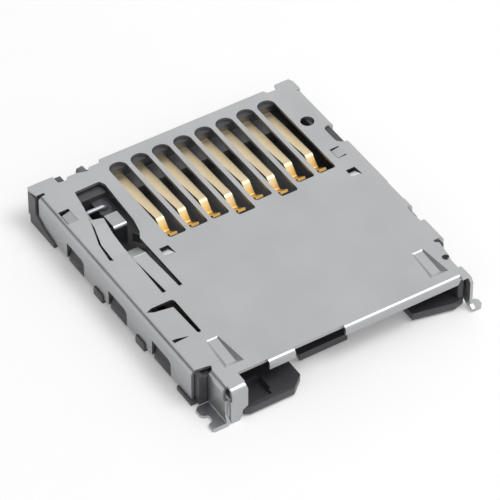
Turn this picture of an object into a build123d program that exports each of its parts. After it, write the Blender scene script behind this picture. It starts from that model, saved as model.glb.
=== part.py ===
from build123d import *
from math import atan2, degrees, radians, sin, tan
import os

os.makedirs("parts", exist_ok=True)

# Push-in, push-out socket for a micro memory card, in millimetres.
# X runs across the socket, Y from the card slot to the solder tails, Z up from the board.

# Card, lying in its lane with the pads up
CARD = 0.70             # thickness
CARD_WIDTH = 11.00
CARD_STEP = 1.30        # the leading part is narrower by this, on the left
LEAD_LENGTH = 6.40      # step to leading edge
CARD_FIT = 0.10         # play on each side
TRAVEL = 4.50           # stroke of card and slider

# Heights above the board
TOP = 1.90              # outside of the shell's top
SHEET = 0.15            # stainless sheet of the shell
UNDER = TOP - SHEET     # inside of the shell's top
SKIN = TOP - SHEET / 2  # middle of the sheet
BASE = 0.12             # underside of the housing between its standoffs
FLOOR = 0.50            # floor that the card slides on

# Across the socket: shell, housing wall, slider, card, housing wall, shell
SHELL_FIT = 0.03        # housing to shell
RUN_FIT = 0.02          # slider to its chamber
WALL = 0.22             # housing wall beside the slider
SLIDER_WIDTH = 1.14
RIGHT_WALL = 0.66       # housing wall beside the card
WIDTH = 2 * (SHEET + SHELL_FIT) + WALL + RUN_FIT + SLIDER_WIDTH + 2 * CARD_FIT + CARD_WIDTH + RIGHT_WALL
RIGHT = WIDTH / 2
LEFT = -RIGHT
HOUSING_SIDE = RIGHT - SHEET - SHELL_FIT
CHAMBER_LEFT = -HOUSING_SIDE + WALL
SLIDER_LEFT = CHAMBER_LEFT + RUN_FIT
SLIDER_RIGHT = SLIDER_LEFT + SLIDER_WIDTH
CARD_LEFT = SLIDER_RIGHT + CARD_FIT
CARD_RIGHT = CARD_LEFT + CARD_WIDTH
LANE_RIGHT = CARD_RIGHT + CARD_FIT
LEAD_LEFT = CARD_LEFT + CARD_STEP

# Along the socket: front lip, card's step when the card is out, stop for its leading edge, rear edge
ENTRY = 1.85            # lip to the card's step
STOP_GAP = 0.10         # leading edge to the stop at the end of the push
REAR_BLOCK = 1.85       # stop to the rear edge of the shell
LENGTH = ENTRY + LEAD_LENGTH + TRAVEL + STOP_GAP + REAR_BLOCK
REAR = LENGTH / 2
FRONT = -REAR
OVERHANG = 0.70         # front foot and solder tails past the shell's top
TAB_FRONT = FRONT - 0.65
TAIL_END = REAR + OVERHANG
STEP_Y = FRONT + ENTRY
CARD_STOP = STEP_Y + LEAD_LENGTH + TRAVEL + STOP_GAP

# Slider and its chamber
SLIDER_LENGTH = 5.70
SLIDER_FRONT = STEP_Y - 0.40
SLIDER_REAR = SLIDER_FRONT + SLIDER_LENGTH
SLIDER_TOP = UNDER - 0.50
CHAMBER_FLOOR = 0.30
SPRING_WIRE = 0.12
SPRING_OUTSIDE = 0.80
SPRING_TURNS = 10
CHAMBER_REAR = SLIDER_REAR + TRAVEL + SPRING_TURNS * SPRING_WIRE + 0.10
SPRING_X = SLIDER_LEFT + 0.48
SPRING_Z = CHAMBER_FLOOR + RUN_FIT + SPRING_OUTSIDE / 2

# Cam pin: wire, turning about its rear end as the slider runs
WIRE = 0.22
PIN_HEIGHT = UNDER - 0.28               # middle of the long run
PIN_FOOT = PIN_HEIGHT - 0.72            # lower end in the bore
PIVOT = (SLIDER_RIGHT + 0.89, CHAMBER_REAR - 0.60)
ELBOW = (PIVOT[0] - 1.05, PIVOT[1])
TIP = (SLIDER_RIGHT - 0.36, SLIDER_REAR - 0.50)
SWING = 4.525           # degrees over the whole stroke

# Contacts
CONTACTS = 8
LONG_CONTACTS = (4, 6)  # supply and ground reach further forward
LONG_REACH = 0.30
PITCH = 1.10
ROW_X = (LEAD_LEFT + CARD_RIGHT) / 2
STRIP = 0.12            # contact strip thickness
TAIL_WIDTH = 0.40

# Folds of the shell
BEND = 0.25             # outside radius of the long bends
FOLD = 0.20             # outside radius of the short folds
FLAT = RIGHT - BEND     # where the flat of the top ends
TAB_FOLD = 0.28         # outside radius at the front tab
FOOT = RIGHT + 0.10     # ends of the solder feet
EAR = 0.10              # rear corners of the top past its rear edge


def rounded_corner(before, here, after, radius):
    """Start, middle and end of the arc that rounds one corner of a path."""
    back = (before - here).normalized()
    on = (after - here).normalized()
    half = radians(back.get_angle(on) / 2)
    centre = here + (back + on).normalized() * (radius / sin(half))
    run = radius / tan(half)
    return here + back * run, centre + (here - centre).normalized() * radius, here + on * run


def outline(corners):
    """Closed face through corners (u, v) or (u, v, radius)."""
    count = len(corners)
    points = [Vector(*corner[:2]) for corner in corners]
    arcs = []
    for i, corner in enumerate(corners):
        if len(corner) == 3:
            arcs.append(rounded_corner(points[i - 1], points[i], points[(i + 1) % count], corner[2]))
        else:
            arcs.append((points[i], None, points[i]))
    edges = []
    for i, (start, middle, end) in enumerate(arcs):
        if middle:
            edges.append(ThreePointArc(start, middle, end))
        edges.append(Line(end, arcs[(i + 1) % count][0]))
    return make_face(edges)


def plan(corners, z0, z1):
    """Outline in X and Y, filled between two heights."""
    return extrude(Plane.XY.offset(z0) * outline(corners), z1 - z0, dir=(0, 0, 1))


def profile(corners, x0, x1):
    """Outline in Y and Z, filled between two X."""
    return extrude(Plane.YZ.offset(x0) * outline(corners), x1 - x0, dir=(1, 0, 0))


def section(corners, y0, y1):
    """Outline in X and Z, filled between two Y."""
    return extrude(Plane.XZ.offset(-y0) * outline(corners), y1 - y0, dir=(0, 1, 0))


def block(x0, x1, y0, y1, z0, z1):
    """Box between two places along each axis."""
    return Pos((x0 + x1) / 2, (y0 + y1) / 2, (z0 + z1) / 2) * Box(x1 - x0, y1 - y0, z1 - z0)


def strip(path, thickness):
    """Corners of a bent strip whose middle follows path, (u, v) or (u, v, radius)."""
    points = [Vector(*place[:2]) for place in path]
    left, right = [], []
    for i, place in enumerate(path):
        on = (points[min(i + 1, len(path) - 1)] - points[min(i, len(path) - 2)]).normalized()
        back = (points[max(i, 1)] - points[max(i - 1, 0)]).normalized()
        across = Vector(-on.Y - back.Y, on.X + back.X)
        across = across * (thickness / (1 + on.dot(back)) / 2)
        turn = back.X * on.Y - back.Y * on.X
        for rim, side in ((left, 1), (right, -1)):
            spot = points[i] + across * side
            if len(place) == 3:
                bend = place[2] - side * thickness / 2 * (1 if turn > 0 else -1)
                rim.append((spot.X, spot.Y, bend))
            else:
                rim.append((spot.X, spot.Y))
    return left + right[::-1]


def lane(path, width, z0, z1):
    """Round-ended groove along a path in plan."""
    groove = None
    for start, end in zip(path, path[1:]):
        run = Vector(*end) - Vector(*start)
        turn = Rot(0, 0, degrees(atan2(run.Y, run.X)))
        piece = Pos(*start, z0) * turn * Pos(run.length / 2, 0, (z1 - z0) / 2) * Box(run.length, width, z1 - z0)
        groove = piece if groove is None else groove + piece
    for spot in path:
        groove += Pos(*spot, (z0 + z1) / 2) * Cylinder(width / 2, z1 - z0)
    return groove


def wire(points, bend, diameter):
    """Round wire along straight runs joined by bends."""
    spots = [Vector(*point) for point in points]
    edges = []
    start = spots[0]
    for before, here, after in zip(spots, spots[1:], spots[2:]):
        arc = rounded_corner(before, here, after, bend)
        edges += [Line(start, arc[0]), ThreePointArc(*arc)]
        start = arc[2]
    edges.append(Line(start, spots[-1]))
    path = Wire(edges)
    return sweep(Plane(origin=path @ 0, z_dir=path % 0) * Circle(diameter / 2), path=path)


# Signal contact: solder tail, leg up the rear face, sprung beam that dips to the card's pads
BEAM_ROOT = UNDER - 0.44                        # middle of the strip where the beam leaves the plastic
ROOT_Y = REAR - 0.95
CREST = (CARD_STOP - 2.55, UNDER - 0.15)        # highest bend of the beam
VALLEY = (CARD_STOP - 3.08, FLOOR + CARD - 0.14)  # point that touches the pad
NOSE = (CARD_STOP - 3.72, UNDER - 0.15)         # turned-up tip
LEG_Y = REAR - 0.21
ROOT_WIDTH = 0.50
TIP_WIDTH = 0.38


def row_x(number):
    """Middle of one contact, numbered from the left."""
    return ROW_X + PITCH * (number - (CONTACTS + 1) / 2)


def contact(number):
    """One contact of the row."""
    x = row_x(number)
    ahead = LONG_REACH if number in LONG_CONTACTS else 0
    side_view = strip(
        [
            (TAIL_END, STRIP / 2),
            (LEG_Y, STRIP / 2, 0.12),
            (LEG_Y, BEAM_ROOT, 0.12),
            (ROOT_Y, BEAM_ROOT, 0.6),
            (CREST[0] - ahead, CREST[1], 0.22),
            (VALLEY[0] - ahead, VALLEY[1], 0.18),
            (NOSE[0] - ahead, NOSE[1]),
        ],
        STRIP,
    )
    half_view = [
        (TAIL_WIDTH, TAIL_END + STRIP),
        (TAIL_WIDTH, LEG_Y - 0.14),
        (ROOT_WIDTH, LEG_Y - 0.24),
        (ROOT_WIDTH, ROOT_Y - 1.20),
        (TIP_WIDTH, CREST[0] + 0.25),
        (TIP_WIDTH, NOSE[0] - LONG_REACH - STRIP),
    ]
    from_above = [(x - width / 2, y) for width, y in half_view]
    from_above += [(x + width / 2, y) for width, y in reversed(half_view)]
    return profile(side_view, x - ROOT_WIDTH, x + ROOT_WIDTH) & plan(from_above, 0, TOP)


contacts = {f"contact_{n}": contact(n) for n in range(1, CONTACTS + 1)}

# Shell: one folded sheet with a top, two side walls, a front lip, a front tab and two feet
WALL_BOTTOM = 0.25
WALL_FRONT = FRONT + 1.25
WALL_REAR = REAR - 0.75
REAR_LENGTH = (REAR - 3.43, WALL_REAR)          # the right wall comes in four lengths
LONG_LENGTH = (FRONT + 6.85, REAR - 4.77)
SHORT_LENGTH = (FRONT + 4.93, FRONT + 5.47)
FRONT_LENGTH = (FRONT + 2.51, FRONT + 3.85)
LIP_DEPTH = 0.45
LIPS = ((LEFT + 3.10, LEFT + 4.40), (RIGHT - 6.70, RIGHT - 3.80))
TAB_LEFT = LEFT + 0.78
TAB_RIGHT = LEFT + 1.62
NOSE_LEFT = LEFT + 1.47     # left end of the plastic nose beside the tab

top_sheet = plan(
    [
        (-FOOT, REAR + EAR, 0.06),
        (LEFT + 1.20, REAR + EAR),
        (LEFT + 1.22, REAR - 0.38, 0.10),
        (LEFT + 1.66, REAR - 0.42, 0.08),
        (LEFT + 1.72, REAR - 0.25),
        (LEFT + 2.22, REAR - 0.25),
        (LEFT + 2.70, REAR - 0.40, 0.05),
        (LEFT + 2.88, REAR - 0.20),
        (LEFT + 3.50, REAR - 0.20),
        (LEFT + 3.50, REAR),
        (RIGHT - 1.54, REAR),
        (RIGHT - 1.40, REAR - 0.20),
        (RIGHT - 0.90, REAR - 0.22),
        (RIGHT - 0.86, REAR + EAR),
        (RIGHT - 0.12, REAR + EAR),
        (RIGHT, REAR - 0.14),
        (RIGHT, WALL_REAR + 0.04),
        (FLAT, WALL_REAR),
        (FLAT, REAR_LENGTH[0]),
        (RIGHT - 0.58, REAR_LENGTH[0] - 0.12, 0.25),
        (RIGHT - 0.58, LONG_LENGTH[1] + 0.12, 0.35),
        (FLAT, LONG_LENGTH[1]),
        (FLAT, LONG_LENGTH[0]),
        (FLAT + 0.10, LONG_LENGTH[0]),
        (FLAT + 0.10, SHORT_LENGTH[1]),
        (FLAT, SHORT_LENGTH[1]),
        (FLAT, SHORT_LENGTH[0]),
        (RIGHT - 0.32, SHORT_LENGTH[0] - 0.10),
        (RIGHT - 0.32, FRONT_LENGTH[1]),
        (FLAT, FRONT_LENGTH[1]),
        (FLAT, FRONT_LENGTH[0]),
        (RIGHT - 0.55, FRONT_LENGTH[0]),
        (RIGHT - 0.55, FRONT_LENGTH[0] - 0.13),
        (RIGHT - 0.40, FRONT_LENGTH[0] - 0.24),
        (RIGHT - 0.50, FRONT + 1.40),
        (RIGHT - 0.60, FRONT + 1.05),
        (RIGHT - 0.60, FRONT + FOLD),
        (TAB_RIGHT, FRONT + FOLD),
        (TAB_RIGHT, TAB_FRONT + TAB_FOLD),
        (LEFT + 0.82, TAB_FRONT + TAB_FOLD),
        (LEFT + 0.82, WALL_FRONT - 0.32),
        (LEFT + 0.96, WALL_FRONT - 0.10, 0.08),
        (-FLAT, WALL_FRONT),
        (-FLAT, WALL_REAR),
        (LEFT + 0.35, WALL_REAR),
        (LEFT + 0.35, WALL_REAR + 0.15),
        (LEFT, WALL_REAR + 0.15),
    ],
    UNDER,
    TOP,
)


def side_wall(side, y0, y1):
    """One length of a long bend with its wall, on the left (-1) or right (1)."""
    middle = side * (RIGHT - SHEET / 2)
    bend = [(side * (FLAT - 0.20), SKIN), (middle, SKIN, BEND - SHEET / 2), (middle, WALL_BOTTOM)]
    return section(strip(bend, SHEET), y0, y1)


shell = top_sheet + side_wall(-1, WALL_FRONT, WALL_REAR)
for y0, y1 in (REAR_LENGTH, LONG_LENGTH, SHORT_LENGTH, FRONT_LENGTH):
    shell += side_wall(1, y0, y1)

# Latch notches in the walls' lower edges, and the raised edge at the rear corners
NOTCHES = ((REAR - 4.60, REAR - 3.15), (-0.85, 0.68), (FRONT + 2.90, FRONT + 4.43))
NOTCH_TOP = TOP - 0.80
STANDOFFS = ((1.10, 1.85), (-2.38, -1.66))      # the housing's feet come through these
STANDOFF_TOP = 0.46
for side in (-1, 1):
    x0, x1 = sorted((side * (RIGHT - SHEET - 0.10), side * (RIGHT + 0.10)))
    for y0, y1 in STANDOFFS:
        roof = STANDOFF_TOP + 0.04
        shell -= profile([(y0 - 0.04, 0), (y1 + 0.04, 0), (y1 + 0.04, roof, 0.14), (y0 - 0.04, roof, 0.14)], x0, x1)
    for y0, y1 in NOTCHES:
        shell -= profile([(y0, 0), (y1, 0), (y1, NOTCH_TOP, 0.05), (y0, NOTCH_TOP, 0.25)], x0, x1)
    shell -= profile(
        [
            (WALL_REAR - 1.40, 0),
            (WALL_REAR - 1.40, WALL_BOTTOM),
            (WALL_REAR - 0.50, WALL_BOTTOM + 0.22),
            (WALL_REAR + 0.20, WALL_BOTTOM + 0.59),
            (WALL_REAR + 0.20, 0),
        ],
        x0,
        x1,
    )

# Front lip, front tab and the two outward feet
lip_y = FRONT + SHEET / 2
lip_path = [(FRONT + 0.45, SKIN), (lip_y, SKIN, FOLD - SHEET / 2), (lip_y, TOP - LIP_DEPTH)]
for x0, x1 in LIPS:
    shell += profile(strip(lip_path, SHEET), x0, x1)
tab_y = TAB_FRONT + SHEET / 2
front_tab = profile(
    strip([(FRONT + 0.05, SKIN), (tab_y, SKIN, TAB_FOLD - SHEET / 2), (tab_y, 0)], SHEET),
    TAB_LEFT,
    TAB_RIGHT,
)
front_tab &= section(
    [
        (TAB_LEFT, TOP),
        (TAB_RIGHT - 0.05, TOP),
        (TAB_RIGHT, UNDER - 0.10),
        (TAB_RIGHT, FLOOR + 0.20),
        (NOSE_LEFT - 0.10, FLOOR + 0.04),
        (NOSE_LEFT - 0.16, 0.22),
        (NOSE_LEFT - 0.26, 0),
        (TAB_LEFT + 0.08, 0),
        (TAB_LEFT, 0.20),
    ],
    TAB_FRONT - 0.10,
    FRONT + 0.15,
)
shell += front_tab

left_leg_x = LEFT + 0.60 + SHEET / 2
left_leg = section(
    strip(
        [
            (LEFT + 1.20, SKIN),
            (left_leg_x, SKIN, 0.22),
            (left_leg_x, SHEET / 2, FOLD - SHEET / 2),
            (-FOOT, SHEET / 2),
        ],
        SHEET,
    ),
    FRONT - OVERHANG,
    FRONT + 0.89,
)
left_leg &= profile(
    [
        (FRONT + 0.89, TOP),
        (FRONT - 0.46, TOP),
        (FRONT - 0.46, 0.45, 0.20),
        (FRONT - OVERHANG, 0),
        (FRONT + 0.85, 0),
        (FRONT + 0.89, 0.50),
    ],
    -FOOT,
    LEFT + 1.40,
)
foot_cuts = [
    [
        (-FOOT - 0.10, FRONT + 0.28),
        (-FOOT + 0.30, FRONT + 0.18, 0.12),
        (-FOOT + 0.28, FRONT - 0.16, 0.12),
        (-FOOT - 0.10, FRONT - 0.34),
    ],
    [(-FOOT - 0.10, FRONT + 1.00), (-FOOT + 0.30, FRONT + 1.00), (-FOOT - 0.10, FRONT + 0.62)],
    [(-FOOT - 0.10, FRONT + 0.45), (-FOOT + 0.18, FRONT + 0.15), (-FOOT - 0.10, FRONT + 0.15)],
    [(-FOOT - 0.10, FRONT - 0.80), (-FOOT + 0.20, FRONT - 0.80), (-FOOT - 0.10, FRONT - 0.56)],
]
for cut in foot_cuts:
    left_leg -= plan(cut, 0, 2 * SHEET)
shell += left_leg
shell -= block(LEFT + 0.55, LEFT + 0.84, TAB_FRONT - 0.03, FRONT - 0.26, TOP - 0.62, TOP)

right_leg_x = RIGHT - 0.35 - SHEET / 2
right_leg = section(
    strip(
        [
            (RIGHT - 0.80, SKIN),
            (right_leg_x, SKIN, FOLD - SHEET / 2),
            (right_leg_x, SHEET / 2, FOLD - SHEET / 2),
            (FOOT, SHEET / 2),
        ],
        SHEET,
    ),
    FRONT - 0.50,
    FRONT + 0.55,
)
right_leg &= profile(
    [
        (FRONT + 0.55, TOP),
        (FRONT, TOP),
        (FRONT - 0.14, TOP - 0.18),
        (FRONT - 0.27, TOP - 0.36, 0.08),
        (FRONT - 0.27, 0.32, 0.08),
        (FRONT - 0.50, 0.20),
        (FRONT - 0.50, 0),
        (FRONT + 0.05, 0),
        (FRONT + 0.05, 0.20),
        (FRONT + 0.55, 0.60, 0.15),
    ],
    RIGHT - 0.90,
    FOOT,
)
for cut in (
    [(FOOT + 0.10, FRONT - 0.60), (FOOT - 0.22, FRONT - 0.60), (FOOT + 0.10, FRONT - 0.22)],
    [(FOOT + 0.10, FRONT + 0.15), (FOOT - 0.22, FRONT + 0.15), (FOOT + 0.10, FRONT - 0.18)],
):
    right_leg -= plan(cut, 0, 2 * SHEET)
shell += right_leg

# Windows over the contacts
WINDOW = 0.87
WINDOW_FRONT = CARD_STOP - 4.13
WINDOW_REAR = REAR - 0.57
for n in range(1, CONTACTS + 1):
    x = row_x(n)
    front = WINDOW_FRONT - (0.37 if n in LONG_CONTACTS else 0)
    shell -= plan(
        [
            (x - WINDOW / 2, front, 0.12),
            (x + WINDOW / 2, front, 0.12),
            (x + WINDOW / 2, WINDOW_REAR, 0.40),
            (x - WINDOW / 2, WINDOW_REAR, 0.40),
        ],
        UNDER - 0.1,
        TOP + 0.1,
    )

# Opening over the cam pin and the switch, with its two leaf springs.
# Its rear end goes with the pin's pivot, its front end with the card's step.
seam = SLIDER_RIGHT
pin_y = PIVOT[1]
shell -= plan(
    [
        (seam - 0.05, pin_y + 1.06, 0.08),
        (seam + 1.22, pin_y + 1.09, 0.10),
        (seam + 1.35, pin_y + 0.81, 0.10),
        (seam + 1.23, pin_y - 1.85),
        (seam + 1.07, STEP_Y + 7.90),
        (seam + 0.87, STEP_Y + 7.55),
        (seam + 0.88, STEP_Y + 6.77),
        (seam + 0.91, STEP_Y + 4.09, 0.06),
        (seam - 0.09, STEP_Y + 4.09, 0.04),
        (seam - 0.05, STEP_Y + 6.50),
        (seam - 0.98, STEP_Y + 7.00, 0.05),
        (seam - 0.86, STEP_Y + 8.10),
        (seam - 0.50, pin_y - 1.21),
        (seam - 0.21, pin_y - 0.03),
    ],
    UNDER - 0.1,
    TOP + 0.1,
)
LEAF_GAP = 0.015        # leaf to the pin below it
leaf_end = PIN_HEIGHT + WIRE / 2 + LEAF_GAP + SHEET / 2
pin_leaf = profile(
    strip(
        [
            (STEP_Y + 6.40, SKIN),
            (STEP_Y + 7.10, SKIN, 1.0),
            (pin_y - 1.20, leaf_end, 0.6),
            (pin_y - 0.50, leaf_end),
        ],
        SHEET,
    ),
    seam - 0.96,
    seam + 0.44,
)
pin_leaf &= plan(
    [
        (seam - 0.82, STEP_Y + 6.40),
        (seam - 0.82, STEP_Y + 7.10),
        (seam - 0.74, STEP_Y + 8.10),
        (seam - 0.38, pin_y - 1.21),
        (seam - 0.34, pin_y - 0.70, 0.08),
        (seam + 0.27, pin_y - 0.88, 0.08),
        (seam + 0.07, pin_y - 2.02),
        (seam - 0.04, STEP_Y + 7.36),
        (seam - 0.06, STEP_Y + 6.50),
        (seam - 0.06, STEP_Y + 6.40),
    ],
    PIN_HEIGHT,
    TOP,
)
card_leaf = profile(
    strip(
        [
            (STEP_Y + 3.70, SKIN),
            (STEP_Y + 4.40, SKIN, 1.0),
            (STEP_Y + 6.72, SKIN - 0.10, 0.18),
            (STEP_Y + 7.52, SKIN - 0.48),
        ],
        SHEET,
    ),
    seam - 0.36,
    seam + 0.94,
)
card_leaf &= plan(
    [
        (seam + 0.09, STEP_Y + 3.70),
        (seam + 0.09, STEP_Y + 4.09),
        (seam + 0.00, STEP_Y + 6.60),
        (seam + 0.12, STEP_Y + 7.60),
        (seam + 0.74, STEP_Y + 7.60),
        (seam + 0.66, STEP_Y + 6.57),
        (seam + 0.73, STEP_Y + 4.09),
        (seam + 0.73, STEP_Y + 3.70),
    ],
    FLOOR + CARD,
    TOP,
)
shell += pin_leaf + card_leaf

# Slots round the flap over the slider
shell -= plan(
    [
        (LEFT + 0.25, STEP_Y + 3.42),
        (LEFT + 0.55, STEP_Y + 3.54),
        (seam + 0.10, STEP_Y + 3.55, 0.18),
        (seam + 0.10, STEP_Y + 1.24, 0.07),
        (seam - 0.08, STEP_Y + 1.24, 0.07),
        (seam - 0.15, STEP_Y + 3.12, 0.04),
        (LEFT + 0.55, STEP_Y + 3.27),
    ],
    UNDER - 0.1,
    TOP + 0.1,
)
shell -= plan(
    [
        (LEFT + 0.29, STEP_Y + 1.42),
        (LEFT + 0.46, STEP_Y + 1.42),
        (LEFT + 1.10, STEP_Y + 1.26),
        (LEFT + 0.31, STEP_Y + 1.22),
    ],
    UNDER - 0.1,
    TOP + 0.1,
)

# Pilot hole of the sheet, relief hole at a slot's end, and lanced tongues
shell -= Pos(CARD_RIGHT, REAR - 2.77, UNDER) * Cylinder(0.32, 1)
shell -= Pos(RIGHT - 0.69, WALL_FRONT + 0.10, UNDER) * Cylinder(0.17, 1)


def tongue(opening, flap, hinge, turn):
    """Opening in the top and the flap left in it, turned down about its hinge."""
    hole = plan(opening, UNDER - 0.1, TOP + 0.1)
    place = Pos(*hinge, UNDER)
    turned = place * turn * place.inverse() * plan(flap, UNDER, TOP)
    return hole, turned


LANCE_Y = REAR - 2.93
TONGUE_Y = REAR - 5.57
lances = [
    tongue(
        [
            (LEFT + 0.23, LANCE_Y + 0.88),
            (LEFT + 0.75, LANCE_Y + 0.88),
            (LEFT + 0.75, LANCE_Y),
            (LEFT + 0.23, LANCE_Y),
        ],
        [
            (LEFT + 0.35, LANCE_Y + 0.72),
            (LEFT + 0.78, LANCE_Y + 0.72),
            (LEFT + 0.78, LANCE_Y),
            (LEFT + 0.35, LANCE_Y),
        ],
        (LEFT + 0.77, LANCE_Y),
        Rot(0, -16, 0),
    ),
    tongue(
        [
            (RIGHT - 1.14, TONGUE_Y + 0.68),
            (RIGHT - 0.68, TONGUE_Y + 0.68),
            (RIGHT - 0.68, TONGUE_Y),
            (RIGHT - 1.14, TONGUE_Y),
        ],
        [
            (RIGHT - 1.06, TONGUE_Y + 0.62),
            (RIGHT - 0.65, TONGUE_Y + 0.62),
            (RIGHT - 0.65, TONGUE_Y + 0.08),
            (RIGHT - 1.06, TONGUE_Y + 0.08),
        ],
        (RIGHT - 0.66, TONGUE_Y),
        Rot(0, -10, 0),
    ),
]
for x, y in ((RIGHT - 1.28, WINDOW_FRONT - 0.97), (LEFT + 2.76, WINDOW_FRONT - 0.89)):
    lances.append(
        tongue(
            [(x, y + 0.54), (x + 0.46, y + 0.54), (x + 0.50, y - 0.02), (x, y + 0.05)],
            [(x, y + 0.38), (x + 0.38, y + 0.38), (x + 0.46, y - 0.03), (x, y + 0.04)],
            (x, y - 0.03),
            Rot(-14, 0, 0),
        )
    )
for hole, turned in lances:
    shell = shell - hole + turned

# Pressed guide dimples either side of the card slot
DIMPLE = 0.10           # depth in the middle; they deepen to the front
DIMPLE_FALL = 4
DIMPLE_FLARE = 55
left_dimple = (LEFT + 1.56, LEFT + 2.02, FRONT + 0.95, FRONT + 2.44)
right_dimple = (RIGHT - 1.74, RIGHT - 1.30, FRONT + 0.85, FRONT + 2.25)
for x0, x1, y0, y1 in (left_dimple, right_dimple):
    bed = Pos((x0 + x1) / 2, (y0 + y1) / 2, TOP - DIMPLE) * Rot(DIMPLE_FALL, 0, 0)
    press = extrude(bed * Rectangle(x1 - x0, y1 - y0), DIMPLE + 0.15, taper=-DIMPLE_FLARE)
    below = block(x0 - 0.5, x1 + 0.5, y0 - 0.5, y1 + 0.5, FLOOR, UNDER + 0.01)
    shell += (Pos(0, 0, -SHEET) * press) & below
    shell -= press

# Slider: heart-shaped track on top, rail under the shell, arm that takes the card's step
TRACK_FLOOR = SLIDER_TOP - 0.37
TRACK_WIDTH = WIRE + 0.08
ARM_RIGHT = LEAD_LEFT - 0.11
ARM_DEPTH = 0.70
RAIL = 0.18
PEG = 0.50
PEG_LENGTH = 0.35
SLIDER_BOTTOM = CHAMBER_FLOOR + RUN_FIT

slider = block(SLIDER_LEFT, SLIDER_RIGHT, SLIDER_FRONT, SLIDER_REAR, SLIDER_BOTTOM, SLIDER_TOP)
slider += block(SLIDER_LEFT, SLIDER_LEFT + RAIL, SLIDER_FRONT, SLIDER_REAR, SLIDER_BOTTOM, UNDER - 0.05)
slider += plan(
    [
        (SLIDER_RIGHT - 0.10, STEP_Y + ARM_DEPTH),
        (ARM_RIGHT, STEP_Y + ARM_DEPTH, 0.20),
        (ARM_RIGHT, STEP_Y, 0.08),
        (SLIDER_RIGHT - 0.10, STEP_Y),
    ],
    FLOOR + RUN_FIT,
    FLOOR + CARD,
)
pivot = Vector(*PIVOT)
push_end = pivot + (Vector(*TIP) - pivot).rotate(Axis.Z, -SWING) - Vector(0, TRAVEL)
catch = push_end + Vector(0.246, 0.344)
release = push_end + Vector(0.466, 0.084)
way_back = [(SLIDER_RIGHT - 0.26, push_end.Y + 0.484), (SLIDER_RIGHT - 0.26, TIP[1] - 0.90), TIP]
slider -= lane([TIP, (push_end.X, push_end.Y)], TRACK_WIDTH, TRACK_FLOOR, TOP)
slider -= lane(
    [(push_end.X, push_end.Y), (catch.X, catch.Y), (release.X, release.Y), *way_back],
    TRACK_WIDTH,
    TRACK_FLOOR,
    SLIDER_TOP,
)
slider += Pos(SPRING_X, SLIDER_REAR + PEG_LENGTH / 2, SPRING_Z) * Rot(90, 0, 0) * Cylinder(PEG / 2, PEG_LENGTH)

# Card lock spring: strip in the slider that ends in a bump for the card's side notch
HOOK_SHEET = 0.10
HOOK_X = SLIDER_RIGHT - 0.15
HOOK_BOTTOM = FLOOR + RUN_FIT
HOOK_HEIGHT = 0.30
hook_path = [
    (HOOK_X, SLIDER_FRONT + 0.90),
    (HOOK_X, SLIDER_FRONT - 0.45, 0.15),
    (CARD_LEFT + 0.14, SLIDER_FRONT - 1.00, 0.15),
    (HOOK_X, SLIDER_FRONT - 1.45),
]
card_lock_spring = plan(strip(hook_path, HOOK_SHEET), HOOK_BOTTOM, HOOK_BOTTOM + HOOK_HEIGHT)
slider -= card_lock_spring

# Cam pin: bent wire, pivoted at the rear and riding in the slider's track
PIN_BEND = 0.20
cam_pin = wire(
    [
        (*PIVOT, PIN_FOOT),
        (*PIVOT, PIN_HEIGHT),
        (*ELBOW, PIN_HEIGHT),
        (*TIP, PIN_HEIGHT),
        (*TIP, TRACK_FLOOR + 0.04),
    ],
    PIN_BEND,
    WIRE,
)

# Eject spring: coil between the slider and the rear of its chamber
SEAT_GAP = 0.005        # at each end of the coil
spring_length = CHAMBER_REAR - SLIDER_REAR - SPRING_WIRE - 2 * SEAT_GAP
coil_radius = (SPRING_OUTSIDE - SPRING_WIRE) / 2
coil = Helix(spring_length / SPRING_TURNS, spring_length, coil_radius)
eject_spring = sweep(
    Plane(origin=coil @ 0, z_dir=coil % 0) * Circle(SPRING_WIRE / 2), path=coil, is_frenet=True
)
eject_spring = Pos(SPRING_X, SLIDER_REAR + SPRING_WIRE / 2 + SEAT_GAP, SPRING_Z) * Rot(-90, 0, 0) * eject_spring

# Card switch: fixed terminal with a pad near the top, and the spring arm that the card moves
SWITCH_SHEET = 0.10
PAD_TOP = UNDER - 0.10
IN_FLOOR = 0.22         # middle of the strips run inside the floor
strip_out = [
    (REAR - 0.30, IN_FLOOR, 0.12),
    (REAR - 0.10, SWITCH_SHEET / 2, 0.12),
    (TAIL_END, SWITCH_SHEET / 2),
]
terminal_path = [
    (pin_y - 0.70, PAD_TOP - SWITCH_SHEET / 2),
    (pin_y - 1.55, PAD_TOP - SWITCH_SHEET / 2, 0.12),
    (pin_y - 1.55, IN_FLOOR, 0.08),
    *strip_out,
]
detect_switch_terminal = profile(strip(terminal_path, SWITCH_SHEET), seam + 0.39, seam + 1.04)
detect_switch_terminal &= plan(
    [
        (seam + 0.39, pin_y - 2.00),
        (seam + 1.04, pin_y - 2.00),
        (seam + 1.04, pin_y + 0.60),
        (seam + 0.79, pin_y + 0.70),
        (seam + 0.79, TAIL_END + SWITCH_SHEET),
        (seam + 0.39, TAIL_END + SWITCH_SHEET),
    ],
    0,
    TOP,
)
ARM_X = seam + 0.69
ARM_Y = pin_y - 4.40
arm_path = [
    (ARM_X, ARM_Y),
    (ARM_X, ARM_Y + 0.85, 0.30),
    (LEAD_LEFT + 0.19, ARM_Y + 2.05, 0.20),
    (LEAD_LEFT - 0.21, ARM_Y + 2.60),
]
detect_switch_spring = plan(strip(arm_path, SWITCH_SHEET), FLOOR + 0.20, FLOOR + 0.65)
detect_switch_spring += plan(
    strip([(ARM_X, ARM_Y), (ARM_X, ARM_Y + 0.50)], SWITCH_SHEET), IN_FLOOR, FLOOR + 0.40
)
detect_switch_spring += block(
    seam + 0.12,
    ARM_X + SWITCH_SHEET / 2,
    ARM_Y,
    ARM_Y + 0.25,
    IN_FLOOR - SWITCH_SHEET / 2,
    IN_FLOOR + SWITCH_SHEET / 2,
)
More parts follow.
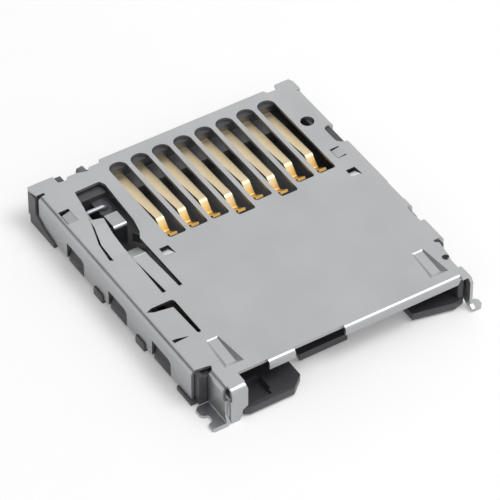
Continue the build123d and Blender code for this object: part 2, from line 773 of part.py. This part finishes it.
spring_tail = profile(strip([(ARM_Y, IN_FLOOR), *strip_out], SWITCH_SHEET), seam - 0.06, seam + 0.29)
spring_tail &= plan(
    [
        (seam + 0.12, ARM_Y),
        (seam + 0.29, ARM_Y),
        (seam + 0.29, TAIL_END + SWITCH_SHEET),
        (seam - 0.04, TAIL_END + SWITCH_SHEET),
        (seam - 0.04, REAR - 0.55),
        (seam + 0.12, REAR - 0.75),
    ],
    0,
    TOP,
)
detect_switch_spring += spring_tail

# Housing: moulded floor, side walls, rear block and the nose under the card slot
BLOCK_REAR = LEG_Y + STRIP / 2
HOUSING_TOP = UNDER - 0.02
STOP_FRONT = FRONT + 0.93
SHOULDER_Y = FRONT + 2.25       # the housing narrows in front of this
SHOULDER_X = RIGHT - 0.53
SLOT_FLOOR_Y = FRONT + 2.55     # front edge of the floor between nose and front block
NOSE_FRONT = TAB_FRONT - 0.02
NOSE_BOTTOM = 0.04

housing = plan(
    [
        (-HOUSING_SIDE, BLOCK_REAR),
        (HOUSING_SIDE, BLOCK_REAR),
        (HOUSING_SIDE, SHOULDER_Y),
        (SHOULDER_X, SHOULDER_Y - 0.50),
        (SHOULDER_X, FRONT + 0.10, 0.20),
        (RIGHT - 1.10, FRONT - 0.04, 0.30),
        (RIGHT - 3.02, FRONT + 0.38, 0.05),
        (RIGHT - 3.02, SLOT_FLOOR_Y),
        (RIGHT - 5.95, SLOT_FLOOR_Y),
        (RIGHT - 5.95, FRONT + 0.88, 0.12),
        (LEFT + 5.15, FRONT + 0.88, 0.04),
        (LEFT + 5.25, FRONT + 1.35),
        (SLIDER_RIGHT - 0.26, FRONT + 1.35),
        (SLIDER_RIGHT - 0.26, STOP_FRONT),
        (-HOUSING_SIDE, STOP_FRONT),
    ],
    BASE,
    FLOOR,
)
nose = plan(
    [
        (LEFT + 4.55, FRONT + 1.75),
        (LEFT + 4.55, FRONT - 0.12),
        (LEFT + 3.92, NOSE_FRONT, 0.15),
        (LEFT + 1.74, NOSE_FRONT, 0.15),
        (NOSE_LEFT, NOSE_FRONT + 0.12, 0.08),
        (NOSE_LEFT, FRONT + 1.75),
    ],
    NOSE_BOTTOM,
    FLOOR,
)
front_edges = nose.faces().sort_by(Axis.Z)[0].edges().filter_by(lambda e: e.center().Y < NOSE_FRONT + 0.13)
nose = chamfer(front_edges, 0.08)
for x0, x1, y0, y1, bottom in (
    (LEFT + 1.80, LEFT + 3.05, NOSE_FRONT + 0.54, NOSE_FRONT + 1.47, 0.20),
    (LEFT + 1.90, LEFT + 2.95, NOSE_FRONT + 0.24, NOSE_FRONT + 0.64, FLOOR - 0.14),
):
    nose -= plan([(x0, y0, 0.06), (x1, y0, 0.06), (x1, y1, 0.06), (x0, y1, 0.06)], bottom, FLOOR)
housing += nose

# Side walls, rear block, stop in front of the slider and the boss for the pin
housing += block(-HOUSING_SIDE, CHAMBER_LEFT, STOP_FRONT, BLOCK_REAR, BASE, HOUSING_TOP)
housing += plan(
    [
        (LANE_RIGHT, BLOCK_REAR),
        (HOUSING_SIDE, BLOCK_REAR),
        (HOUSING_SIDE, SHOULDER_Y),
        (SHOULDER_X, SHOULDER_Y - 0.50),
        (SHOULDER_X, FRONT + 0.07, 0.10),
        (LANE_RIGHT, FRONT + 0.12, 0.10),
    ],
    BASE,
    HOUSING_TOP,
)
housing += block(LEAD_LEFT - 0.16, LANE_RIGHT, CARD_STOP, BLOCK_REAR, BASE, FLOOR + CARD)
housing += block(LEAD_LEFT - 0.16, LANE_RIGHT, REAR - 0.85, BLOCK_REAR, BASE, HOUSING_TOP)
housing += block(-HOUSING_SIDE, LEAD_LEFT - 0.11, CHAMBER_REAR, BLOCK_REAR, BASE, HOUSING_TOP - 0.10)
housing += block(-HOUSING_SIDE, SLIDER_RIGHT - 0.26, STOP_FRONT, SLIDER_FRONT - RUN_FIT, BASE, UNDER - 0.15)
housing += plan(
    [
        (PIVOT[0] - 0.40, PIVOT[1] - 0.40, 0.15),
        (PIVOT[0] + 0.40, PIVOT[1] - 0.40, 0.15),
        (PIVOT[0] + 0.40, CHAMBER_REAR + 0.10),
        (PIVOT[0] - 0.40, CHAMBER_REAR + 0.10),
    ],
    BASE,
    PIN_HEIGHT - WIRE / 2 - 0.01,
)

# Slider chamber, peg for the spring and bore for the pin
housing -= block(
    CHAMBER_LEFT, SLIDER_RIGHT + 2 * RUN_FIT, SLIDER_FRONT - RUN_FIT, CHAMBER_REAR, CHAMBER_FLOOR, FLOOR
)
housing += Pos(SPRING_X, CHAMBER_REAR - PEG_LENGTH / 2, SPRING_Z) * Rot(90, 0, 0) * Cylinder(PEG / 2, PEG_LENGTH)
housing -= Pos(*PIVOT, PIN_FOOT + 0.45) * Cylinder(WIRE / 2 + RUN_FIT, 1.00)

# Standoffs, corner pads under the shell and ledges in the latch notches
for side in (-1, 1):
    inner = side * (HOUSING_SIDE - WALL / 2)
    for y0, y1 in STANDOFFS:
        x0, x1 = sorted((inner, side * (RIGHT + 0.07)))
        foot = [(y0, 0), (y1, 0), (y1, STANDOFF_TOP, 0.12), (y0, STANDOFF_TOP, 0.12)]
        housing += profile(foot, x0, x1)
    x0, x1 = sorted((inner, LEFT - 0.08 if side < 0 else RIGHT - 0.02))
    housing += profile(
        [
            (WALL_REAR - 1.38, 0),
            (REAR - 0.08, 0),
            (REAR - 0.08, 0.42),
            (REAR + 0.07, 0.42),
            (REAR + 0.07, HOUSING_TOP),
            (WALL_REAR + 0.18, HOUSING_TOP),
            (WALL_REAR + 0.18, WALL_BOTTOM + 0.55),
            (WALL_REAR - 0.50, WALL_BOTTOM + 0.19),
            (WALL_REAR - 1.38, WALL_BOTTOM - 0.02),
        ],
        x0,
        x1,
    )
    edge = side * HOUSING_SIDE
    ledge = edge + side * 0.14
    for y0, y1 in NOTCHES:
        housing += section(
            [
                (inner, BASE),
                (ledge, BASE),
                (ledge, WALL_BOTTOM + 0.11),
                (edge, WALL_BOTTOM + 0.35),
                (inner, WALL_BOTTOM + 0.35),
            ],
            y0 + 0.10,
            y1 - 0.10,
        )
housing += block(LEFT - 0.08, LEFT + 0.60, FRONT + 1.15, FRONT + 2.30, 0, WALL_BOTTOM - 0.02)
housing += block(RIGHT - 0.75, RIGHT - 0.30, FRONT + 1.15, FRONT + 1.75, 0, BASE)
housing += plan(
    [
        (LEFT + 2.35, BLOCK_REAR - 0.10),
        (LEFT + 2.88, BLOCK_REAR - 0.10),
        (LEFT + 2.84, REAR + 0.34, 0.05),
        (LEFT + 2.50, REAR + 0.28, 0.08),
        (LEFT + 2.35, REAR + 0.06),
    ],
    0.60,
    TOP - 0.30,
)
housing += block(LEFT + 1.30, LEFT + 1.60, BLOCK_REAR - 0.10, REAR + 0.14, 0.60, HOUSING_TOP)
housing -= block(RIGHT - 0.34, RIGHT, FRONT_LENGTH[1] + 0.02, SHORT_LENGTH[0] - 0.62, 0, TOP)
housing -= block(LEFT + 0.10, LEFT + 0.85, LANCE_Y - 0.07, LANCE_Y + 0.94, UNDER - 0.30, TOP)

# Room for the spring, then the seats of everything moulded into the plastic
housing -= block(CHAMBER_LEFT, SLIDER_RIGHT, SLIDER_REAR, CHAMBER_REAR - PEG_LENGTH, CHAMBER_FLOOR, HOUSING_TOP)
for metal in (*contacts.values(), detect_switch_terminal, detect_switch_spring):
    housing -= metal

parts = {
    "housing": housing,
    "shell": shell,
    **contacts,
    "slider": slider,
    "cam_pin": cam_pin,
    "eject_spring": eject_spring,
    "card_lock_spring": card_lock_spring,
    "detect_switch_terminal": detect_switch_terminal,
    "detect_switch_spring": detect_switch_spring,
}
for name, solid in parts.items():
    export_step(solid, f"parts/{name}.step")
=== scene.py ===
import bpy
from math import cos, radians, sin
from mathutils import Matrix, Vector


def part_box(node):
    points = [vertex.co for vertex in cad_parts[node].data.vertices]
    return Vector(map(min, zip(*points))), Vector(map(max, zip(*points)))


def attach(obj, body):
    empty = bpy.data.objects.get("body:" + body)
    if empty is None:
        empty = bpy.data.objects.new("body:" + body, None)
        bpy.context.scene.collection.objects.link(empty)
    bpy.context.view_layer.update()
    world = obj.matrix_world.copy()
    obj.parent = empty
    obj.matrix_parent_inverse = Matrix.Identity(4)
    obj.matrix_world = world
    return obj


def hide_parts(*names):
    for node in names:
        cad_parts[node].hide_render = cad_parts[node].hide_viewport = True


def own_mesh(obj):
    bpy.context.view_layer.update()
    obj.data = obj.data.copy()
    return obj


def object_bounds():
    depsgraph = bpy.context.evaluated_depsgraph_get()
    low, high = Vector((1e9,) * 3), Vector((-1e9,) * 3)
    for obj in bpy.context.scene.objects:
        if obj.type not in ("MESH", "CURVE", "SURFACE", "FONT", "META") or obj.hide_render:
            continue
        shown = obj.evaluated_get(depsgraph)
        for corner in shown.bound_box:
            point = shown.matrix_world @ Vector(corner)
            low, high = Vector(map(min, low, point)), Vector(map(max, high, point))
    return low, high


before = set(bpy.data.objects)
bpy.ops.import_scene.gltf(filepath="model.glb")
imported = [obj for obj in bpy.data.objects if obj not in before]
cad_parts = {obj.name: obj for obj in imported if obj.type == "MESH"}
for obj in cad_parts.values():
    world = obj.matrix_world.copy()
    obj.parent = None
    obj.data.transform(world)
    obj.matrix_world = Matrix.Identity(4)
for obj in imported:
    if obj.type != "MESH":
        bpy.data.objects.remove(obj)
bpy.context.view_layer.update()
MM = 0.001


# Shell: one blank of 0.15 mm stainless strip, punched and folded in a progressive die. The
# solid's front lip ends short of the right leg. This length takes it there in the same fold,
# cut back at its lower corner.
SHEET = 0.15 * MM
FOLD = 0.20 * MM            # outside radius of the lip's bend
FRONT = -7.15 * MM          # front edge of the flat, where the bend starts
LIP_DEPTH = 0.45 * MM       # from the top of the shell down to the lip's edge
LIP_LEFT = 3.00 * MM        # where the solid's front lip ends
LIP_RIGHT = 6.00 * MM       # where the right leg begins
HEEL = 0.15 * MM            # cut back at the lower corner
NEAR = 0.01 * MM            # a vertex this close to a corner is taken as the corner
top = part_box("shell")[1].z
bpy.ops.object.select_all(action="DESELECT")
bpy.ops.mesh.primitive_plane_add(
    size=1,
    location=((LIP_LEFT + LIP_RIGHT) / 2, FRONT, top - SHEET / 2),
    rotation=(radians(90), 0, 0),
)
lip = bpy.context.object
lip.name = "front_lip_right"
lip.scale = (LIP_RIGHT - LIP_LEFT, SHEET, 1)
bpy.ops.object.transform_apply(location=True, rotation=True, scale=True)
bpy.ops.object.mode_set(mode="EDIT")
bpy.ops.mesh.select_all(action="SELECT")
bpy.ops.mesh.spin(steps=10, angle=radians(-90), center=(0, FRONT, top - FOLD), axis=(1, 0, 0))
bpy.ops.mesh.extrude_region_move(TRANSFORM_OT_translate={"value": (0, 0, FOLD - LIP_DEPTH)})
bpy.ops.mesh.select_all(action="DESELECT")
bpy.ops.object.mode_set(mode="OBJECT")
for corner in lip.data.vertices:
    low = corner.co.z < top - LIP_DEPTH + NEAR
    corner.select = low and corner.co.x > LIP_RIGHT - NEAR
bpy.ops.object.mode_set(mode="EDIT")
bpy.ops.transform.translate(value=(-HEEL, 0, 0))
bpy.ops.mesh.select_all(action="SELECT")
bpy.ops.mesh.remove_doubles(threshold=0.001 * MM)
bpy.ops.mesh.normals_make_consistent(inside=False)
bpy.ops.object.mode_set(mode="OBJECT")
bpy.ops.object.shade_smooth_by_angle(angle=radians(30))


def colour(code):
    """Linear colour of an sRGB hex value."""
    parts = [int(code[i:i + 2], 16) / 255 for i in (1, 3, 5)]
    return [p / 12.92 if p <= 0.04045 else ((p + 0.055) / 1.055) ** 2.4 for p in parts] + [1.0]


def add(tree, kind, settings, *links):
    """Adds one node with its settings and links. A node in a link means its first output."""
    node = tree.nodes.new(kind)
    for key, value in settings.items():
        if isinstance(key, str) and hasattr(node, key):
            setattr(node, key, value)
        else:
            node.inputs[key].default_value = value
    for key, source in links:
        tree.links.new(getattr(source, "outputs", [source])[0], node.inputs[key])
    return node


def start(name):
    """A new material with an empty tree, and the piece's own coordinates in metres."""
    material = bpy.data.materials.new(name)
    material.use_nodes = True
    tree = material.node_tree
    tree.nodes.clear()
    return material, tree, add(tree, "ShaderNodeTexCoord", {}).outputs["Object"]


def dress(material, *pieces):
    """Gives a material to whole pieces."""
    for piece in pieces:
        piece.data.materials.clear()
        piece.data.materials.append(material)


# Cold-rolled 2B stainless: a satin grey mirror, slightly clouded, with short rolling lines
# along the strip. The lines are drawn 0.05 mm wide, coarser than real ones, so that they show.
LINE = 0.05 * MM
CLOUD = 2.2 * MM
RELIEF = 0.01 * MM          # height of what rolling or moulding leaves on a surface
stainless, tree, place = start("stainless_sheet_cold_rolled")
along = add(tree, "ShaderNodeMapping", {"Scale": (0.08, 1, 1)}, ("Vector", place))
grain = add(tree, "ShaderNodeTexNoise", {"Scale": 1 / LINE, "Detail": 3.0}, ("Vector", along))
cloud = add(tree, "ShaderNodeTexNoise", {"Scale": 1 / CLOUD, "Detail": 2.0}, ("Vector", place))
greys = {"data_type": "RGBA", 6: colour("#abacad"), 7: colour("#b6b7b8")}
tone = add(tree, "ShaderNodeMix", greys, (0, cloud)).outputs[2]
satin = add(tree, "ShaderNodeMapRange", {"To Min": 0.30, "To Max": 0.42}, ("Value", cloud))
bump = add(tree, "ShaderNodeBump", {"Strength": 0.06, "Distance": RELIEF}, ("Height", grain))
steel = add(
    tree,
    "ShaderNodeBsdfPrincipled",
    {"Metallic": 1.0},
    ("Base Color", tone),
    ("Roughness", satin),
    ("Normal", bump),
)
add(tree, "ShaderNodeOutputMaterial", {}, ("Surface", steel))
dress(stainless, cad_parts["shell"], lip)
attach(lip, "base")


# Housing: one moulding in black glass-filled liquid crystal polymer. It shows as floor,
# nose, corners and ledges round the shell, satin and dark grey where light grazes it.
FIBRE = 0.12 * MM
MOULD_RADIUS = 0.03 * MM
lcp, tree, place = start("black_lcp_moulded")
fibre = add(tree, "ShaderNodeTexNoise", {"Scale": 1 / FIBRE, "Detail": 4.0}, ("Vector", place))
blacks = {"data_type": "RGBA", 6: colour("#3b3b3f"), 7: colour("#4c4c50")}
tone = add(tree, "ShaderNodeMix", blacks, (0, fibre)).outputs[2]
satin = add(tree, "ShaderNodeMapRange", {"To Min": 0.28, "To Max": 0.44}, ("Value", fibre))
bump = add(tree, "ShaderNodeBump", {"Strength": 0.15, "Distance": RELIEF}, ("Height", fibre))
plastic = add(
    tree,
    "ShaderNodeBsdfPrincipled",
    {"IOR": 1.55},
    ("Base Color", tone),
    ("Roughness", satin),
    ("Normal", bump),
)
add(tree, "ShaderNodeOutputMaterial", {}, ("Surface", plastic))
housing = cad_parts["housing"]
dress(lcp, housing)

# A mould leaves no edge sharp. The solid's loose triangles are joined, its flat faces are
# made whole, and every edge that turns more than 40 degrees is rounded.
merge = housing.modifiers.new("merge", "WELD")
merge.merge_threshold = 0.0001 * MM
flats = housing.modifiers.new("flats", "DECIMATE")
flats.decimate_type = "DISSOLVE"
flats.angle_limit = radians(0.5)
rounding = housing.modifiers.new("mould_radius", "BEVEL")
rounding.width = MOULD_RADIUS
rounding.segments = 2
rounding.limit_method = "ANGLE"
rounding.angle_limit = radians(40)
rounding.miter_outer = "MITER_ARC"
housing.modifiers.new("even_shade", "WEIGHTED_NORMAL")


# Slider: a second moulding, in glass-filled nylon, which wears well against the pin. It is a
# shade darker and browner than the housing, and a little less glossy.
FLECK = 0.2 * MM
nylon, tree, place = start("black_glass_filled_nylon_moulded")
fleck = add(tree, "ShaderNodeTexNoise", {"Scale": 1 / FLECK, "Detail": 3.0}, ("Vector", place))
browns = {"data_type": "RGBA", 6: colour("#2b2a2a"), 7: colour("#3b3938")}
tone = add(tree, "ShaderNodeMix", browns, (0, fleck)).outputs[2]
satin = add(tree, "ShaderNodeMapRange", {"To Min": 0.34, "To Max": 0.50}, ("Value", fleck))
bump = add(tree, "ShaderNodeBump", {"Strength": 0.10, "Distance": RELIEF}, ("Height", fleck))
plastic = add(
    tree,
    "ShaderNodeBsdfPrincipled",
    {"IOR": 1.53},
    ("Base Color", tone),
    ("Roughness", satin),
    ("Normal", bump),
)
add(tree, "ShaderNodeOutputMaterial", {}, ("Surface", plastic))
dress(nylon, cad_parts["slider"])


# Contacts: eight strips blanked from copper alloy, flashed pale over nickel, with thicker
# gold on the tip that meets the card. Numbers 4 and 6, supply and ground, reach further forward.
LONG_REACH = 0.37 * MM
THICK_GOLD = 1.20 * MM      # from the tip's front end back to where the thick gold fades out
FADE = 0.35 * MM
WEAR = 0.45 * MM
tip_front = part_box("contact_1")[0].y
for kind, numbers, reach in (("short", (1, 2, 3, 5, 7, 8), 0), ("long", (4, 6), LONG_REACH)):
    gilt, tree, place = start(f"gold_flash_on_copper_alloy_{kind}")
    wear = add(tree, "ShaderNodeTexNoise", {"Scale": 1 / WEAR, "Detail": 3.0}, ("Vector", place))
    flash = {"data_type": "RGBA", 6: colour("#d2bc93"), 7: colour("#dccfb4")}
    pale = add(tree, "ShaderNodeMix", flash, (0, wear)).outputs[2]
    axes = add(tree, "ShaderNodeSeparateXYZ", {}, (0, place))
    fade_end = tip_front + THICK_GOLD - reach
    ends = {"From Min": fade_end, "From Max": fade_end - FADE}
    thick = add(tree, "ShaderNodeMapRange", ends, ("Value", axes.outputs[1]))
    rich = {"data_type": "RGBA", 7: colour("#dcb267")}
    tone = add(tree, "ShaderNodeMix", rich, (0, thick), (6, pale)).outputs[2]
    satin = add(tree, "ShaderNodeMapRange", {"To Min": 0.38, "To Max": 0.50}, ("Value", wear))
    gold = add(
        tree,
        "ShaderNodeBsdfPrincipled",
        {"Metallic": 1.0},
        ("Base Color", tone),
        ("Roughness", satin),
    )
    add(tree, "ShaderNodeOutputMaterial", {}, ("Surface", gold))
    dress(gilt, *[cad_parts[f"contact_{number}"] for number in numbers])


# Cam pin: drawn stainless wire, bent twice, pivoted in the housing at the rear. The marks of
# the die are too fine to see one by one, so the wire is satin and only faintly clouded.
DIE_MARK = 0.08 * MM
wire, tree, place = start("bright_drawn_steel_wire")
draw = add(tree, "ShaderNodeTexNoise", {"Scale": 1 / DIE_MARK, "Detail": 2.0}, ("Vector", place))
greys = {"data_type": "RGBA", 6: colour("#999da3"), 7: colour("#a8acb1")}
tone = add(tree, "ShaderNodeMix", greys, (0, draw)).outputs[2]
satin = add(tree, "ShaderNodeMapRange", {"To Min": 0.40, "To Max": 0.52}, ("Value", draw))
steel = add(
    tree,
    "ShaderNodeBsdfPrincipled",
    {"Metallic": 1.0},
    ("Base Color", tone),
    ("Roughness", satin),
)
add(tree, "ShaderNodeOutputMaterial", {}, ("Surface", steel))
dress(wire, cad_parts["cam_pin"])


# Eject spring: ten turns of 0.12 mm music wire between the slider and the rear of its
# chamber, of the same drawn finish as the pin. In the socket it shortens by the slider's stroke
# when the card is pushed home; here it is built at one length.
WIRE = 0.12 * MM
TURNS = 10
lowest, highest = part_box("eject_spring")
length = highest.y - lowest.y
coil_radius = (highest.x - lowest.x - WIRE) / 2
bpy.ops.object.select_all(action="DESELECT")
bpy.ops.mesh.primitive_circle_add(
    vertices=10, radius=WIRE / 2, fill_type="NOTHING", location=(coil_radius, 0, 0)
)
coil = bpy.context.object
coil.name = "coil_of_eject_spring"
bpy.ops.object.transform_apply(location=True, rotation=True, scale=True)
screw = coil.modifiers.new("turns", "SCREW")
screw.axis = "Y"
screw.screw_offset = (length - WIRE) / TURNS
screw.iterations = TURNS
screw.steps = 28
screw.render_steps = 28
screw.use_merge_vertices = False
bpy.ops.object.modifier_apply(modifier="turns")
bpy.ops.object.mode_set(mode="EDIT")
bpy.ops.mesh.select_all(action="DESELECT")
bpy.ops.mesh.select_mode(type="VERT")
bpy.ops.mesh.select_non_manifold()
bpy.ops.mesh.edge_face_add()
bpy.ops.mesh.select_all(action="SELECT")
bpy.ops.mesh.normals_make_consistent(inside=False)
bpy.ops.object.mode_set(mode="OBJECT")
bpy.ops.object.shade_smooth_by_angle(angle=radians(50))
middle = (lowest + highest) / 2
coil.location = (middle.x, lowest.y + WIRE / 2, middle.z)
bpy.ops.object.transform_apply(location=True, rotation=True, scale=True)
dress(wire, coil)
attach(coil, "base")
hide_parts("eject_spring")
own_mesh(coil)


# Card lock spring and card switch: narrow strips of spring stainless and of nickel-plated
# bronze, blanked and bent. Their rolled faces are smoother and a little darker than the shell's.
HAZE = 0.3 * MM
strip, tree, place = start("nickel_plated_spring_strip")
haze = add(tree, "ShaderNodeTexNoise", {"Scale": 1 / HAZE, "Detail": 3.0}, ("Vector", place))
greys = {"data_type": "RGBA", 6: colour("#9fa2a5"), 7: colour("#adafb0")}
tone = add(tree, "ShaderNodeMix", greys, (0, haze)).outputs[2]
satin = add(tree, "ShaderNodeMapRange", {"To Min": 0.26, "To Max": 0.38}, ("Value", haze))
steel = add(
    tree,
    "ShaderNodeBsdfPrincipled",
    {"Metallic": 1.0},
    ("Base Color", tone),
    ("Roughness", satin),
)
add(tree, "ShaderNodeOutputMaterial", {}, ("Surface", steel))
strips = ("card_lock_spring", "detect_switch_terminal", "detect_switch_spring")
dress(strip, *[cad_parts[name] for name in strips])


# Floor: a plain table of matt white paper that takes the socket's soft shadow. It glows a
# little where the camera or a mirror image looks, so that it comes out white there.
TABLE = 1.2                 # metres along each side
PAPER_FIBRE = 4 * MM        # coarser than real fibres, so that they show from afar
GLOW = 0.19
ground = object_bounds()[0].z
bpy.ops.object.select_all(action="DESELECT")
bpy.ops.mesh.primitive_plane_add(size=TABLE, location=(0, 0, ground))
floor = bpy.context.object
floor.name = "floor"
bpy.ops.object.transform_apply(location=True, rotation=True, scale=True)


def on_view(tree):
    """1 where the camera, or a mirror image or see-through part of the object, looks."""
    rays = add(tree, "ShaderNodeLightPath", {})
    seen = rays.outputs["Is Camera Ray"]
    for kind in ("Is Glossy Ray", "Is Transmission Ray"):
        most = {"operation": "MAXIMUM"}
        seen = add(tree, "ShaderNodeMath", most, (0, seen), (1, rays.outputs[kind]))
    return seen


paper, tree, place = start("white_paper_matt")
pulp = add(tree, "ShaderNodeTexNoise", {"Scale": 1 / PAPER_FIBRE, "Detail": 2.0}, ("Vector", place))
whites = {"data_type": "RGBA", 6: colour("#f3f3f3"), 7: colour("#f6f6f6")}
tone = add(tree, "ShaderNodeMix", whites, (0, pulp)).outputs[2]
sheet = add(tree, "ShaderNodeBsdfDiffuse", {}, ("Color", tone))
glow = add(tree, "ShaderNodeEmission", {"Color": (1, 1, 1, 1), "Strength": GLOW})
lit = add(tree, "ShaderNodeAddShader", {}, (0, sheet), (1, glow))
mixed = add(tree, "ShaderNodeMixShader", {}, (0, on_view(tree)), (1, sheet), (2, lit))
add(tree, "ShaderNodeOutputMaterial", {}, ("Surface", mixed))
dress(paper, floor)


# Studio: a white room, one large soft lamp high in front on the right and a weak low one
# behind on the right, which lights what tilts away from the camera.
ROOM_LIGHT = 0.55
LAMP_DISTANCE = 0.30
world = bpy.data.worlds.new("white_room")
bpy.context.scene.world = world
world.use_nodes = True
tree = world.node_tree
tree.nodes.clear()
soft = add(tree, "ShaderNodeBackground", {"Color": (1, 1, 1, 1), "Strength": ROOM_LIGHT})
white = add(tree, "ShaderNodeBackground", {"Color": (1, 1, 1, 1), "Strength": 1.0})
room = add(tree, "ShaderNodeMixShader", {}, (0, on_view(tree)), (1, soft), (2, white))
add(tree, "ShaderNodeOutputWorld", {}, ("Surface", room))


def stand(azimuth, elevation, distance, aim=Vector((0, 0, 0))):
    """Spot and turn of a thing that faces the aim, from degrees round it and above it."""
    round_it, above = radians(azimuth), radians(elevation)
    away = Vector((sin(round_it) * cos(above), -cos(round_it) * cos(above), sin(above)))
    return aim + away * distance, away.to_track_quat("Z", "Y").to_euler()


for name, azimuth, elevation, size, power in (
    ("key_lamp", 50, 62, 0.16, 0.40),
    ("rear_lamp", 152, 16, 0.12, 0.05),
):
    spot, turn = stand(azimuth, elevation, LAMP_DISTANCE)
    bpy.ops.object.light_add(type="AREA", location=spot)
    lamp = bpy.context.object
    lamp.name = name
    lamp.rotation_euler = turn
    lamp.data.size = size
    lamp.data.energy = power


# Grey card: a square of matt grey board that stands high behind on the left, out of view. The
# walls and bends that tilt that way reflect it, and so look darker than the flat top.
CARD = 0.13
CARD_DISTANCE = 0.22
spot, turn = stand(222, 42, CARD_DISTANCE)
bpy.ops.object.select_all(action="DESELECT")
bpy.ops.mesh.primitive_plane_add(size=CARD, location=spot)
card = bpy.context.object
card.name = "grey_card"
card.rotation_euler = turn
bpy.ops.object.transform_apply(location=True, rotation=True, scale=True)
slate, tree, place = start("grey_card_matt")
pulp = add(tree, "ShaderNodeTexNoise", {"Scale": 1 / PAPER_FIBRE, "Detail": 2.0}, ("Vector", place))
slates = {"data_type": "RGBA", 6: colour("#303030"), 7: colour("#363636")}
tone = add(tree, "ShaderNodeMix", slates, (0, pulp)).outputs[2]
sheet = add(tree, "ShaderNodeBsdfDiffuse", {}, ("Color", tone))
add(tree, "ShaderNodeOutputMaterial", {}, ("Surface", sheet))
dress(slate, card)


# Camera: a long lens, so that the socket's edges stay nearly parallel. It stands in front on
# the left and looks down on the shell's top at a little under 45 degrees.
AIM = Vector((-0.763, -1.138, 1.90)) * MM
CAMERA_DISTANCE = 172.11 * MM
LENS = 288                  # focal length in mm
SENSOR = 36                 # width in mm
spot, turn = stand(-32.24, 43.29, CAMERA_DISTANCE, AIM)
bpy.ops.object.camera_add(location=spot)
camera = bpy.context.object
camera.rotation_euler = turn
camera.data.lens = LENS
camera.data.sensor_width = SENSOR
camera.data.clip_start = 0.01
camera.data.clip_end = 5
bpy.context.scene.camera = camera
bpy.context.scene.view_settings.view_transform = "Standard"
